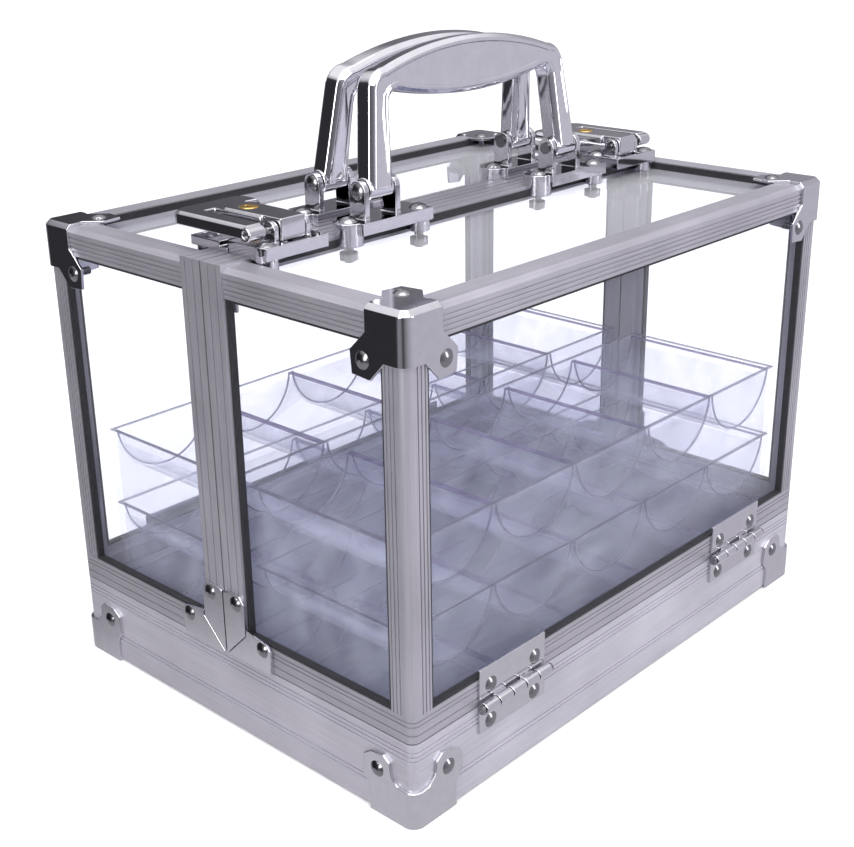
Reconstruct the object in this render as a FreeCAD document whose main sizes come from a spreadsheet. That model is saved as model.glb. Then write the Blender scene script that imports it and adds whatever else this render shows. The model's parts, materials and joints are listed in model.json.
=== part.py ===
"""Clear display carrier with an aluminium frame, two butterfly doors and stacked round-trough racks.

Frame: X runs along the case, Y across it, +Z up, origin on the ground under the middle of the case.
Only the front left quarter of the metalwork is drawn; mirrors make the other three quarters.
"""
import FreeCAD, Part
import math
import os
import re

import Sketcher

# ---------------------------------------------------------------- driving sizes, in millimetres

SIZES = {
    # case
    "case_length": (222.0, "over the end faces"),
    "case_width": (166.0, "over the long faces"),
    "case_height": (162.0, "ground to the top rails"),
    "base_height": (29.4, "ground to the top of the base tray"),
    "door_gap": (0.4, "between the base and the doors"),
    "seam_gap": (0.6, "between the two doors"),
    # extrusions
    "frame_depth": (5.2, "from the face of an extrusion to its back"),
    "post_width": (8.6, "face of a corner post"),
    "rail_height": (9.3, "face of a top rail"),
    "sill_height": (8.8, "face of a door's bottom rail"),
    "strip_width": (9.2, "centre strip, seam to outer edge"),
    "strip_proud": (0.8, "centre strip above the other faces"),
    "edge_radius": (3.0, "rounding of the upright corners"),
    "edge_bevel": (1.6, "bevel of the top edges"),
    "groove_width": (0.45, "fine line drawn in the extrusions"),
    "groove_depth": (0.3, "depth of the fine lines"),
    "groove_pitch": (1.5, "spacing of the fine lines"),
    # panes
    "pane_thickness": (2.4, "acrylic sheet"),
    "pane_inset": (2.8, "face of the frame to the sheet"),
    "pane_lap": (3.0, "sheet hidden behind the frame"),
    "gasket_wall": (0.9, "black lining of each window"),
    "gasket_setback": (0.4, "lining below the frame's face"),
    # base
    "cap_sheet": (1.0, "pressed steel of the corner fittings"),
    "floor_top": (5.2, "ground to the inner floor"),
    "floor_sheet": (3.2, "thickness of the inner floor"),
    "base_line": (9.0, "ground to the deep line round the base"),
    # rivets
    "rivet_radius": (2.7, "rivet head"),
    "rivet_rise": (1.1, "height of a rivet head"),
    "shank_radius": (1.3, "rivet shank"),
    "shank_length": (3.2, "shank in metal"),
    # top corner fittings, measured from the corner
    "arm_root": (14.0, "where an arm leaves the edge"),
    "arm_neck": (7.0, "narrow part of an arm"),
    "arm_reach": (20.0, "tip of an arm"),
    "arm_rivet": (15.2, "rivet from both edges"),
    "tab_rivet": (12.8, "top rivet from both edges"),
    # bottom corner caps, measured from the corner
    "cap_reach": (18.0, "cap along the ground"),
    "cap_arm": (21.0, "widest part of the cap"),
    "cap_rise": (22.0, "top of the cap's arms"),
    "cap_dip": (12.5, "top of the cap at the corner"),
    "cap_rivet_out": (14.4, "rivet from the corner"),
    "cap_rivet_up": (16.0, "rivet above the ground"),
    # tee fittings at the foot of the centre posts
    "tee_foot": (21.5, "seam to the end of the foot"),
    "tee_foot_rise": (12.0, "height of the foot"),
    "tee_stem_rise": (23.6, "height of the stem"),
    "tee_stem": (10.0, "seam to the edge of the stem"),
    # inner corner straps of the centre frame
    "strap_width": (7.0, "inner strap"),
    "strap_leg": (10.0, "length of each leg"),
    # door hinges
    "hinge_centre": (66.0, "middle of the case to the middle of a hinge"),
    "hinge_width": (32.0, "leaf along the case"),
    "hinge_sheet": (1.0, "leaf thickness"),
    "hinge_up": (12.9, "pivot to the top of the upper leaf"),
    "hinge_down": (9.9, "pivot to the bottom of the lower leaf"),
    "hinge_offset": (2.4, "pivot in front of the case"),
    "knuckle_radius": (2.0, "barrel"),
    "knuckle_gap": (0.4, "play between knuckles"),
    "hinge_pin": (0.9, "pin radius"),
    "hinge_rivet_x": (10.8, "leaf rivets from the middle"),
    "hinge_rivet_up": (6.1, "upper rivets above the pivot"),
    "hinge_rivet_down": (6.7, "lower rivets below the pivot"),
    "running_clearance": (0.05, "radial play of every pin"),
    # handle and its brackets
    "leg_spacing": (48.0, "middle of the case to a handle leg"),
    "pivot_offset": (10.5, "seam to the handle pivot"),
    "pivot_rise": (13.3, "top of the case to the handle pivot"),
    "handle_lean": (6.0, "degrees that a raised handle leans to the seam"),
    "handle_rise": (43.4, "pivot to the top of the grip"),
    "handle_shoulder": (37.0, "pivot to the shoulder of the grip"),
    "grip_under": (25.0, "pivot to the lowest point of the grip"),
    "grip_corner": (29.2, "pivot to the inner corner of the grip"),
    "leg_foot": (10.6, "width of a leg at the pivot"),
    "leg_head": (8.4, "width of a leg at the grip"),
    "leg_splay": (3.0, "how far the legs lean in at the grip"),
    "handle_depth": (8.2, "thickness of the grip"),
    "handle_round": (4.0, "corner of the hand opening"),
    "handle_bevel": (1.6, "bevel all round the handle"),
    "foot_radius": (3.7, "round foot of a leg"),
    "leg_play": (0.6, "leg to bracket ear"),
    "ear_sheet": (2.2, "bracket ear"),
    "ear_width": (7.0, "bracket ear across the case"),
    "handle_pin": (1.5, "pin radius"),
    "bracket_sheet": (4.0, "thickness of the brackets"),
    "bracket_back": (3.5, "seam to the bracket"),
    "bracket_front": (17.5, "seam to the far side of the bracket"),
    "lug_reach": (12.4, "leg to the screw of the round lug"),
    "lug_radius": (5.0, "round lug"),
    "tail_reach": (16.6, "leg to the screw at the square end"),
    "tail_end": (20.0, "leg to the square end"),
    "boss_radius": (3.6, "boss under the square end"),
    "screw_head": (3.3, "screw head radius"),
    "screw_rise": (1.5, "screw head height"),
    "low_screw_rise": (1.2, "head height of the screws under the levers"),
    "screw_shank": (1.5, "screw shank radius"),
    "nut_radius": (3.0, "nut under the top sheet"),
    "nut_height": (2.4, "nut thickness"),
    # latches
    "latch_from_rail": (15.3, "end rail to the middle of the lever's block"),
    "latch_pivot_back": (11.0, "seam to the lever pivot"),
    "latch_pivot_up": (3.5, "lever pivot above its base plate"),
    "latch_block": (10.0, "width of the lever's block"),
    "latch_block_half": (3.0, "half of the block along the lever"),
    "latch_play": (0.5, "block to ear"),
    "latch_ear": (1.8, "ear of the latch base"),
    "latch_pin": (1.1, "pin radius"),
    "lever_sheet": (2.5, "lever plate"),
    "lever_rim": (2.0, "wall of the lever's outer rim"),
    "lever_curl": (2.2, "round end of the outer arm"),
    "latch_ear_round": (2.6, "round top of a latch ear"),
    "lever_drop": (1.7, "rim below the plate"),
    "lever_reach": (25.2, "seam to the tip of the lever"),
    "lever_bow": (10.0, "width of the bow at the tip"),
    "lever_left": (16.6, "block middle to the outer side"),
    "lever_right": (12.4, "block middle to the inner side"),
    "lever_arm": (6.6, "width of the outer arm"),
    "key_plate": (12.4, "width of the key plate"),
    "key_pad": (0.6, "raised pad round the key"),
    "key_radius": (3.0, "brass key plug"),
    "key_seat": (6.2, "seam to the key plug"),
    "keeper_rise": (3.0, "keeper plate"),
    "keeper_toe": (1.5, "thin toe of the keeper at the seam"),
    # racks
    "rack_width": (66.4, "across the case"),
    "rack_height": (27.6, "one rack"),
    "rack_gap": (0.4, "play between stacked racks"),
    "trough_radius": (19.3, "round trough"),
    "trough_pitch": (41.2, "trough to trough"),
    "trough_floor": (7.6, "ground of the rack to the outside of a trough"),
    "rack_wall": (1.6, "moulded wall"),
    "ridge_drop": (1.2, "ridges below the rim"),
    "stack_gap": (9.0, "between the two stacks"),
    "stack_shift": (3.0, "both stacks sit this far to the front"),
}
TROUGHS = 5
LAYERS = ("lower", "middle", "upper")

doc = FreeCAD.newDocument("display_carrier")
sheet = doc.addObject("Spreadsheet::Sheet", "Sizes")
for row, (alias, (value, note)) in enumerate(SIZES.items(), start=1):
    sheet.set(f"A{row}", alias)
    sheet.set(f"B{row}", str(value))
    sheet.setAlias(f"B{row}", alias)
    sheet.set(f"C{row}", note)
doc.recompute()

# ---------------------------------------------------------------- drawing helpers

AXES = {
    "x": FreeCAD.Rotation(FreeCAD.Vector(0, 1, 0), 90),
    "y": FreeCAD.Rotation(FreeCAD.Vector(1, 0, 0), -90),
    "z": FreeCAD.Rotation(),
}
OUTWARD = {
    "left": FreeCAD.Rotation(FreeCAD.Vector(0, 1, 0), -90),
    "front": FreeCAD.Rotation(FreeCAD.Vector(1, 0, 0), 90),
    "up": FreeCAD.Rotation(),
}
# a sketch's own x and y on the end face, the long face and the top
FACES = {
    "end": FreeCAD.Rotation(FreeCAD.Vector(1, 1, 1), 120),
    "long": FreeCAD.Rotation(FreeCAD.Vector(1, 0, 0), 90),
    "top": FreeCAD.Rotation(),
}


def linked(text):
    """Turns plain size names into references to the sheet."""
    def reference(word):
        return "Sizes." + word.group() if word.group() in SIZES else word.group()
    return re.sub(r"[a-z_]+", reference, str(text))


def size(text):
    """The value, now, of an expression on the sizes."""
    values = {alias: sheet.get(alias) for alias in SIZES}
    words = re.sub(r"[a-z_]+", lambda word: repr(values[word.group()]), str(text))
    total = FreeCAD.Units.Quantity(words)
    return total.Value


def make(kind, name):
    piece = doc.addObject(kind, name)
    piece.Label = name
    return piece


def place(piece, at, rotation=None):
    if rotation is not None:
        piece.Placement = FreeCAD.Placement(FreeCAD.Vector(0, 0, 0), rotation)
    for axis, value in zip("xyz", at):
        piece.setExpression(f"Placement.Base.{axis}", linked(value))


def box(name, x, y, z):
    """A block between two values on each axis."""
    piece = make("Part::Box", name)
    for side, (low, high) in zip(("Length", "Width", "Height"), (x, y, z)):
        piece.setExpression(side, linked(f"({high}) - ({low})"))
    place(piece, (x[0], y[0], z[0]))
    return piece


def cylinder(name, axis, centre, span, radius):
    """A round bar along an axis; centre gives the other two coordinates in x, y, z order."""
    piece = make("Part::Cylinder", name)
    piece.setExpression("Radius", linked(radius))
    piece.setExpression("Height", linked(f"({span[1]}) - ({span[0]})"))
    at = list(centre)
    at.insert("xyz".index(axis), span[0])
    place(piece, at, AXES[axis])
    return piece


def dome(name, facing, at, radius, rise):
    """A shallow round head that stands on a face."""
    ball = f"((({radius})^2 + ({rise})^2) / (2 * ({rise})))"
    piece = make("Part::Sphere", name)
    piece.setExpression("Radius", linked(ball))
    piece.setExpression("Angle1", linked(f"asin(({ball} - ({rise})) / {ball})"))
    sunk = f"({ball} - ({rise}))"
    shift = {"left": (sunk, "0", "0"), "front": ("0", sunk, "0"), "up": ("0", "0", f"-{sunk}")}
    place(piece, [f"({a}) + ({b})" for a, b in zip(at, shift[facing])], OUTWARD[facing])
    return piece


def cut(name, base, *tools):
    piece = make("Part::Cut", name)
    piece.Base = base
    piece.Tool = tools[0] if len(tools) == 1 else group(name + "_tools", *tools)
    return piece


def common(name, first, second):
    piece = make("Part::Common", name)
    piece.Base = first
    piece.Tool = second
    return piece


def fuse(name, *parts):
    piece = make("Part::MultiFuse", name)
    piece.Shapes = list(parts)
    piece.Refine = True
    return piece


def group(name, *parts):
    piece = make("Part::Compound", name)
    piece.Links = list(parts)
    return piece


def mirror(name, source, normal):
    piece = make("Part::Mirroring", name)
    piece.Source = source
    piece.Normal = normal
    return piece


def both_ends(name, left):
    """The piece at the left end and its twin at the right end."""
    return group(name, left, mirror(name + "_right", left, (1, 0, 0)))


def plate(name, face, points, thickness, at):
    """A flat blank: a closed outline on a face, padded to its thickness."""
    body = make("PartDesign::Body", name)
    sketch = body.newObject("Sketcher::SketchObject", name + "_outline")
    plane = [item for item in body.Origin.OriginFeatures if item.Role == "XY_Plane"][0]
    sketch.AttachmentSupport = [(plane, "")]
    sketch.MapMode = "FlatFace"
    corners = [FreeCAD.Vector(size(x), size(y), 0) for x, y in points]
    count = len(corners)
    for index, corner in enumerate(corners):
        sketch.addGeometry(Part.LineSegment(corner, corners[(index + 1) % count]), False)
    for index in range(count):
        sketch.addConstraint(Sketcher.Constraint("Coincident", index, 2, (index + 1) % count, 1))
    for index, point in enumerate(points):
        for way, value in zip(("DistanceX", "DistanceY"), point):
            held = sketch.addConstraint(Sketcher.Constraint(way, -1, 1, index, 1, size(value)))
            sketch.setExpression(f"Constraints[{held}]", linked(value))
    pad = body.newObject("PartDesign::Pad", name + "_pad")
    pad.Profile = sketch
    pad.setExpression("Length", linked(thickness))
    place(body, at, FACES[face])
    return body


def rounded_block(name, x, y, z, corners, radius, bevel=None):
    """A block with rounded upright corners and, if asked, bevelled top edges.

    corners says which upright edges are rounded, as pairs of signs such as (-1, -1)."""
    body = make("PartDesign::Body", name)
    block = body.newObject("PartDesign::AdditiveBox", name + "_block")
    for side, (low, high) in zip(("Length", "Width", "Height"), (x, y, z)):
        block.setExpression(side, linked(f"({high}) - ({low})"))
    place(body, (x[0], y[0], z[0]))
    doc.recompute()
    length, width, height = (size(f"({high}) - ({low})") for low, high in (x, y, z))

    def is_corner(edge):
        middle = edge.CenterOfMass
        upright = abs(middle.z - height / 2) < 0.001
        way = (1 if middle.x > length / 2 else -1, 1 if middle.y > width / 2 else -1)
        return upright and way in corners
    names = [f"Edge{i + 1}" for i, edge in enumerate(block.Shape.Edges) if is_corner(edge)]
    rounding = body.newObject("PartDesign::Fillet", name + "_rounding")
    rounding.Base = (block, names)
    rounding.setExpression("Radius", linked(radius))
    if bevel is None:
        return body
    doc.recompute()

    def is_top(edge):
        middle = edge.CenterOfMass
        on_open_side = any(
            abs(middle.y - width * (sign > 0)) < 0.001 and (-1, sign) not in corners for sign in (-1, 1)
        )
        return abs(middle.z - height) < 0.001 and not on_open_side
    names = [f"Edge{i + 1}" for i, edge in enumerate(rounding.Shape.Edges) if is_top(edge)]
    edge_cut = body.newObject("PartDesign::Chamfer", name + "_bevel")
    edge_cut.Base = (rounding, names)
    edge_cut.setExpression("Size", linked(bevel))
    return body


# ---------------------------------------------------------------- shared places

LEFT = "-case_length/2"
RIGHT = "case_length/2"
FRONT = "-case_width/2"
BACK = "case_width/2"
TOP = "case_height"
DOOR = "(base_height + door_gap)"
SEAM = "-seam_gap/2"
STRIP_TOP = "(case_height + strip_proud)"
SHEET_TOP = "(case_height - pane_inset)"
SHEET_UNDER = "(case_height - pane_inset - pane_thickness)"
SILL_TOP = f"({DOOR} + sill_height)"
RAIL_UNDER = "(case_height - rail_height)"
STRIP_EDGE = f"({SEAM} - strip_width)"
PIVOT_Y = "(-case_width/2 - hinge_offset)"
PIVOT_Z = "(base_height + door_gap/2)"
SQUARE = ((-1, -1), (1, -1), (-1, 1), (1, 1))
FRONT_PAIR = ((-1, -1), (1, -1))
OVER = "30"

kept = {}


def keep(piece):
    """Marks a finished piece; its Label is the name of its file."""
    kept[piece.Label] = piece
    return piece


# ---------------------------------------------------------------- base tray

def level_line(name, height, y_open=None):
    """A slab, one fine line high, all round the case at a height."""
    back = f"{BACK} + {OVER}" if y_open is None else y_open
    return box(name, (f"{LEFT} - {OVER}", f"{RIGHT} + {OVER}"), (f"{FRONT} - {OVER}", back),
               (height, f"{height} + groove_width"))


def line_cutter(name, heights, core):
    """Level lines that only reach as deep as a groove."""
    slabs = [level_line(f"{name}_{index}", height) for index, height in enumerate(heights)]
    return cut(name, group(name + "_slabs", *slabs), core)


tray_block = rounded_block("tray_block", (LEFT, RIGHT), (FRONT, BACK), ("cap_sheet", "base_height"),
                           SQUARE, "edge_radius")
tray_hollow = box("tray_hollow", (f"{LEFT} + frame_depth", f"{RIGHT} - frame_depth"),
                  (f"{FRONT} + frame_depth", f"{BACK} - frame_depth"), ("0", "base_height + 1"))
groove_core = rounded_block(
    "groove_core",
    (f"{LEFT} + groove_depth", f"{RIGHT} - groove_depth"), (f"{FRONT} + groove_depth", f"{BACK} - groove_depth"),
    ("0", f"{TOP} + 1"), SQUARE, "edge_radius")
tray_heights = ["base_line", "base_line + groove_pitch"]
tray_heights += [f"base_height - {step} * groove_pitch" for step in (2, 3, 4)]
tray = cut("tray", tray_block, tray_hollow, line_cutter("tray_lines", tray_heights, groove_core))


def end_wedge(name, reach, span):
    """Trapezoid over the front side, with its two slanting sides on the mitre lines."""
    piece = make("Part::Wedge", name)
    values = {
        "Xmin": f"{LEFT} - {OVER}", "Xmax": f"{RIGHT} + {OVER}",
        "X2min": f"{LEFT} + {reach}", "X2max": f"{RIGHT} - {reach}",
        "Ymin": f"{FRONT} - {OVER}", "Ymax": f"{FRONT} + {reach}",
        "Zmin": span[0], "Z2min": span[0], "Zmax": span[1], "Z2max": span[1],
    }
    for side, value in values.items():
        piece.setExpression(side, linked(value))
    return piece


front_wedge = end_wedge("front_wedge", "20", ("-10", f"{TOP} + 20"))
front_tray_rail = keep(common("base_front_rail", tray, front_wedge))
back_tray_rail = keep(mirror("base_back_rail", front_tray_rail, (0, 1, 0)))
back_wedge = mirror("back_wedge", front_wedge, (0, 1, 0))
keep(cut("base_end_rails", tray, front_wedge, back_wedge))
keep(box("base_floor", (f"{LEFT} + frame_depth", f"{RIGHT} - frame_depth"),
         (f"{FRONT} + frame_depth", f"{BACK} - frame_depth"), ("floor_top - floor_sheet", "floor_top")))


# ---------------------------------------------------------------- frame of one door

door_block = rounded_block("door_block", (LEFT, RIGHT), (FRONT, SEAM), (DOOR, TOP),
                           FRONT_PAIR, "edge_radius", "edge_bevel")
door_hollow = box("door_hollow", (f"{LEFT} + frame_depth", f"{RIGHT} - frame_depth"),
                  (f"{FRONT} + frame_depth", "10"), ("0", f"{TOP} - frame_depth"))

# windows: (x, y, z) of the clear opening, and the way that its edges lie
WINDOWS = {
    "side": ((f"{LEFT} + post_width", f"{RIGHT} - post_width"),
             (FRONT, f"{FRONT} + pane_inset"), (SILL_TOP, RAIL_UNDER)),
    "top": ((f"{LEFT} + rail_height", f"{RIGHT} - rail_height"),
            (f"{FRONT} + rail_height", STRIP_EDGE), (SHEET_TOP, TOP)),
    "end": ((LEFT, f"{LEFT} + pane_inset"),
            (f"{FRONT} + post_width", STRIP_EDGE), (SILL_TOP, RAIL_UNDER)),
}
THIN_AXIS = {"side": 1, "top": 2, "end": 0}


def grown(window, by):
    """The window's box, wider by a lap along its two broad ways."""
    spans = []
    for axis, (low, high) in enumerate(WINDOWS[window]):
        if axis == THIN_AXIS[window]:
            spans.append((low, high))
        else:
            spans.append((f"{low} - ({by})", f"{high} + ({by})"))
    return spans


def clear_through(window):
    """The opening, run out past the face and in past the sheet."""
    spans = list(WINDOWS[window])
    low, high = spans[THIN_AXIS[window]]
    if window == "top":
        spans[2] = (f"{low} - pane_thickness - 1", f"{high} + {OVER}")
    else:
        spans[THIN_AXIS[window]] = (f"{low} - {OVER}", f"{high} + pane_thickness + 1")
    return box(f"{window}_opening", *spans)


def sheet_box(name, window):
    spans = grown(window, "pane_lap")
    low, high = WINDOWS[window][THIN_AXIS[window]]
    if window == "top":
        spans[2] = (f"{low} - pane_thickness", low)
    else:
        spans[THIN_AXIS[window]] = (high, f"{high} + pane_thickness")
    return box(name, *spans)


openings = {window: clear_through(window) for window in WINDOWS}
sheets = {window: sheet_box(f"{window}_sheet", window) for window in WINDOWS}
end_opening_right = mirror("end_opening_right", openings["end"], (1, 0, 0))
end_sheet_right = mirror("end_sheet_right", sheets["end"], (1, 0, 0))
strip_bay = box("strip_bay", (f"{LEFT} - {OVER}", f"{RIGHT} + {OVER}"), (STRIP_EDGE, "10"),
                ("0", f"{TOP} + {OVER}"))

rail_heights = [f"{RAIL_UNDER} + ({step}) * groove_pitch" for step in (0.8, 1.8, 2.8, 3.8)]
sill_heights = [f"{SILL_TOP} - ({step}) * groove_pitch" for step in (1.2, 2.2, 4.2)]
door_lines = line_cutter("door_lines", rail_heights + sill_heights, groove_core)

upright_lines = []
for step in (0.8, 1.8, 2.8):
    inward = f"post_width - ({step}) * groove_pitch"
    upright_lines.append(box(f"post_line_long_{step}",
                             (f"{LEFT} + {inward}", f"{LEFT} + {inward} + groove_width"),
                             (f"{FRONT} - 1", f"{FRONT} + groove_depth"), (SILL_TOP, RAIL_UNDER)))
    upright_lines.append(box(f"post_line_end_{step}", (f"{LEFT} - 1", f"{LEFT} + groove_depth"),
                             (f"{FRONT} + {inward}", f"{FRONT} + {inward} + groove_width"),
                             (SILL_TOP, RAIL_UNDER)))
left_lines = group("post_lines", *upright_lines)
both_lines = both_ends("all_post_lines", left_lines)

door_frame = cut("door_frame", door_block, door_hollow, *openings.values(), end_opening_right)
door_frame = cut("door_frame_rebated", door_frame, *sheets.values(), end_sheet_right)
door_frame = cut("door_frame_lined", door_frame, strip_bay, door_lines)
door_frame = cut("door_frame_finished", door_frame, both_lines)

sill_zone = box("sill_zone", (f"{LEFT} - {OVER}", f"{RIGHT} + {OVER}"), (f"{FRONT} - {OVER}", "10"),
                ("0", SILL_TOP))
rail_zone = box("rail_zone", (f"{LEFT} - {OVER}", f"{RIGHT} + {OVER}"), (f"{FRONT} - {OVER}", "10"),
                (RAIL_UNDER, f"{TOP} + {OVER}"))
sills = common("sills", door_frame, sill_zone)
rails = common("rails", door_frame, rail_zone)
front_pieces = {
    "sill": common("front_sill", sills, front_wedge),
    "end_sills": cut("front_end_sills", sills, front_wedge),
    "corner_posts": cut("front_corner_posts", door_frame, sill_zone, rail_zone),
    "top_rail": common("front_top_rail", rails, front_wedge),
    "end_top_rails": cut("front_end_top_rails", rails, front_wedge),
}

# centre strip: post, top strip and post, standing a little proud, mitred at the top corners
strip_block = box("strip_block", (f"{LEFT} - strip_proud", f"{RIGHT} + strip_proud"), (STRIP_EDGE, SEAM),
                  (DOOR, STRIP_TOP))
strip_hollow = box("strip_hollow", (f"{LEFT} + frame_depth", f"{RIGHT} - frame_depth"), ("-50", "10"),
                   ("0", f"{TOP} - frame_depth"))
flutes = []
for number, share in enumerate((0.22, 0.62)):
    edge = f"{STRIP_EDGE} + ({share}) * strip_width"
    flutes.append(box(f"flute_top_{number}", (f"{LEFT} - {OVER}", f"{RIGHT} + {OVER}"),
                      (edge, f"{edge} + groove_width"), (f"{STRIP_TOP} - groove_depth", f"{STRIP_TOP} + 1")))
    flutes.append(box(f"flute_end_{number}",
                      (f"{LEFT} - strip_proud - 1", f"{LEFT} - strip_proud + groove_depth"),
                      (edge, f"{edge} + groove_width"), ("0", f"{STRIP_TOP} + 1")))
flutes.append(mirror("flute_right_0", flutes[1], (1, 0, 0)))
flutes.append(mirror("flute_right_1", flutes[3], (1, 0, 0)))
strip = cut("strip_bored", strip_block, strip_hollow, *sheets.values(), end_sheet_right)
strip = cut("strip_fluted", strip, *flutes)

top_wedge = make("Part::Wedge", "top_wedge")
WEDGE = {
    "Xmin": f"{LEFT} + 20", "Xmax": f"{RIGHT} - 20",
    "X2min": f"{LEFT} - 10", "X2max": f"{RIGHT} + 10",
    "Ymin": "0", "Ymax": "30", "Zmin": "-30", "Zmax": "10", "Z2min": "-30", "Z2max": "10",
}
for side_name, value in WEDGE.items():
    top_wedge.setExpression(side_name, linked(value))
# turned so that its own y runs up, from 20 mm under the top, where it reaches the mitre line
place(top_wedge, ("0", "0", f"{TOP} - 20"), FACES["long"])
front_pieces["centre_strip"] = common("front_centre_strip", strip, top_wedge)
front_pieces["centre_posts"] = cut("front_centre_posts", strip, top_wedge)

# gaskets: black linings between each window's edge and the sheet
linings = []
for window in WINDOWS:
    outer_spans = grown(window, "0")
    inner_spans = grown(window, "-gasket_wall")
    low, high = WINDOWS[window][THIN_AXIS[window]]
    if window == "top":
        outer_spans[2] = (low, f"{high} - gasket_setback")
        inner_spans[2] = (f"{low} - 1", f"{high} + 1")
    else:
        outer_spans[THIN_AXIS[window]] = (f"{low} + gasket_setback", high)
        inner_spans[THIN_AXIS[window]] = (f"{low} - 1", f"{high} + 1")
    lining = cut(f"{window}_lining", box(f"{window}_lining_out", *outer_spans),
                 box(f"{window}_lining_in", *inner_spans))
    linings.append(lining)
    if window == "end":
        linings.append(mirror("end_lining_right", lining, (1, 0, 0)))
plain_linings = group("window_linings", *linings)

# ---------------------------------------------------------------- corner fittings

skin_block = rounded_block(
    "skin_block", (f"{LEFT} - cap_sheet", f"{RIGHT} + cap_sheet"), (f"{FRONT} - cap_sheet", f"{BACK} + cap_sheet"),
    ("0", f"{TOP} + cap_sheet"), SQUARE, "edge_radius + cap_sheet", "edge_bevel")
full_block = rounded_block("full_block", (LEFT, RIGHT), (FRONT, BACK), ("cap_sheet", TOP),
                           SQUARE, "edge_radius", "edge_bevel")
skin = cut("skin", skin_block, full_block)

ARM = [("-cap_sheet", "2"), ("arm_root", "2"), ("arm_root", "-arm_neck"),
       ("arm_reach", "-arm_neck - (arm_reach - arm_root)"), ("arm_reach - 0.6", "-arm_reach"),
       ("arm_root - 1.6", "-arm_reach - 0.6"), ("arm_neck", "-arm_root - 0.8"),
       ("-cap_sheet", "-arm_root - 0.8")]
TAB = [("-cap_sheet", "-cap_sheet"), ("arm_root", "-cap_sheet"), ("arm_root - 0.6", "arm_neck - 1.6"),
       ("arm_reach - 1.2", "arm_neck + 3.8"), ("arm_reach - 2.2", "arm_reach - 2.2"),
       ("arm_neck + 3.8", "arm_reach - 1.2"), ("arm_neck - 1.6", "arm_root - 0.6"), ("-cap_sheet", "arm_root")]
SKIN_BITE = "(edge_radius + 1)"
arm_end = plate("arm_end", "end", ARM, f"{SKIN_BITE} + cap_sheet", (f"{LEFT} - cap_sheet", FRONT, TOP))
arm_long = plate("arm_long", "long", ARM, f"{SKIN_BITE} + cap_sheet", (LEFT, f"{FRONT} + {SKIN_BITE}", TOP))
tab_top = plate("tab_top", "top", TAB, "edge_bevel + 2", (LEFT, FRONT, f"{TOP} - edge_bevel - 1"))
fitting_blank = fuse("fitting_blank", arm_end, arm_long, tab_top)
corner_fitting = common("corner_fitting", skin, fitting_blank)

CAP = [("-cap_sheet", "-1"), ("cap_reach", "-1"), ("cap_reach", "cap_dip - 4"),
       ("cap_arm", "cap_dip"), ("cap_arm - 0.6", "cap_rise - 3"), ("cap_arm - 4", "cap_rise - 0.6"),
       ("cap_rivet_out - 2.6", "cap_rise"), ("cap_dip - 3.2", "cap_rise - 2"), ("cap_dip - 4", "cap_dip + 3"),
       ("cap_dip - 6.4", "cap_dip + 0.6"), ("-cap_sheet", "cap_dip")]
cap_end = plate("cap_end", "end", CAP, f"{SKIN_BITE} + cap_sheet", (f"{LEFT} - cap_sheet", FRONT, "0"))
cap_long = plate("cap_long", "long", CAP, f"{SKIN_BITE} + cap_sheet", (LEFT, f"{FRONT} + {SKIN_BITE}", "0"))
cap_sole = box("cap_sole", (f"{LEFT} - cap_sheet", f"{LEFT} + cap_reach"),
               (f"{FRONT} - cap_sheet", f"{FRONT} + cap_reach"), ("-1", "cap_sheet"))
cap_blank = fuse("cap_blank", cap_end, cap_long, cap_sole)
cap_left = common("cap_left", skin, cap_blank)
caps_front = both_ends("caps_front", cap_left)

# ---------------------------------------------------------------- rivets

def rivet(name, facing, at, through="shank_length"):
    """A domed rivet: its head stands on a face, its shank goes in from there."""
    axis = {"left": "x", "front": "y", "up": "z"}[facing]
    place_on = "xyz".index(axis)
    others = [value for index, value in enumerate(at) if index != place_on]
    start = at[place_on]
    span = (f"{start} - ({through})", start) if facing == "up" else (start, f"{start} + ({through})")
    head = dome(name + "_head", facing, at, "rivet_radius", "rivet_rise")
    shank = cylinder(name + "_shank", axis, others, span, "shank_radius")
    return fuse(name, head, shank)


THROUGH_SHEET = "(cap_sheet + pane_inset + pane_thickness)"
corner_rivets = group(
    "corner_rivets",
    rivet("rivet_end_arm", "left", (f"{LEFT} - cap_sheet", f"{FRONT} + arm_rivet", f"{TOP} - arm_rivet"),
          THROUGH_SHEET),
    rivet("rivet_long_arm", "front", (f"{LEFT} + arm_rivet", f"{FRONT} - cap_sheet", f"{TOP} - arm_rivet"),
          THROUGH_SHEET),
    rivet("rivet_top_tab", "up", (f"{LEFT} + tab_rivet", f"{FRONT} + tab_rivet", f"{TOP} + cap_sheet"),
          THROUGH_SHEET))
tee_face = f"({LEFT} - strip_proud - cap_sheet)"
tee_rivets = group(
    "tee_rivets",
    rivet("rivet_stem", "left", (tee_face, f"{SEAM} - tee_stem + 3.9", f"{DOOR} + tee_stem_rise - 3.4")),
    rivet("rivet_foot", "left", (tee_face, f"{SEAM} - tee_foot + 3.3", f"{DOOR} + tee_foot_rise - 4")))
leaf_face = f"({FRONT} - hinge_sheet)"
leaf_rivets_up = group(
    "leaf_rivets_up",
    *[rivet(f"rivet_leaf_up_{way}", "front",
            (f"-hinge_centre {way} hinge_rivet_x", leaf_face, f"{PIVOT_Z} + hinge_rivet_up")) for way in "-+"])
leaf_rivets_down = group(
    "leaf_rivets_down",
    *[rivet(f"rivet_leaf_down_{way}", "front",
            (f"-hinge_centre {way} hinge_rivet_x", leaf_face, f"{PIVOT_Z} - hinge_rivet_down")) for way in "-+"])
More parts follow.
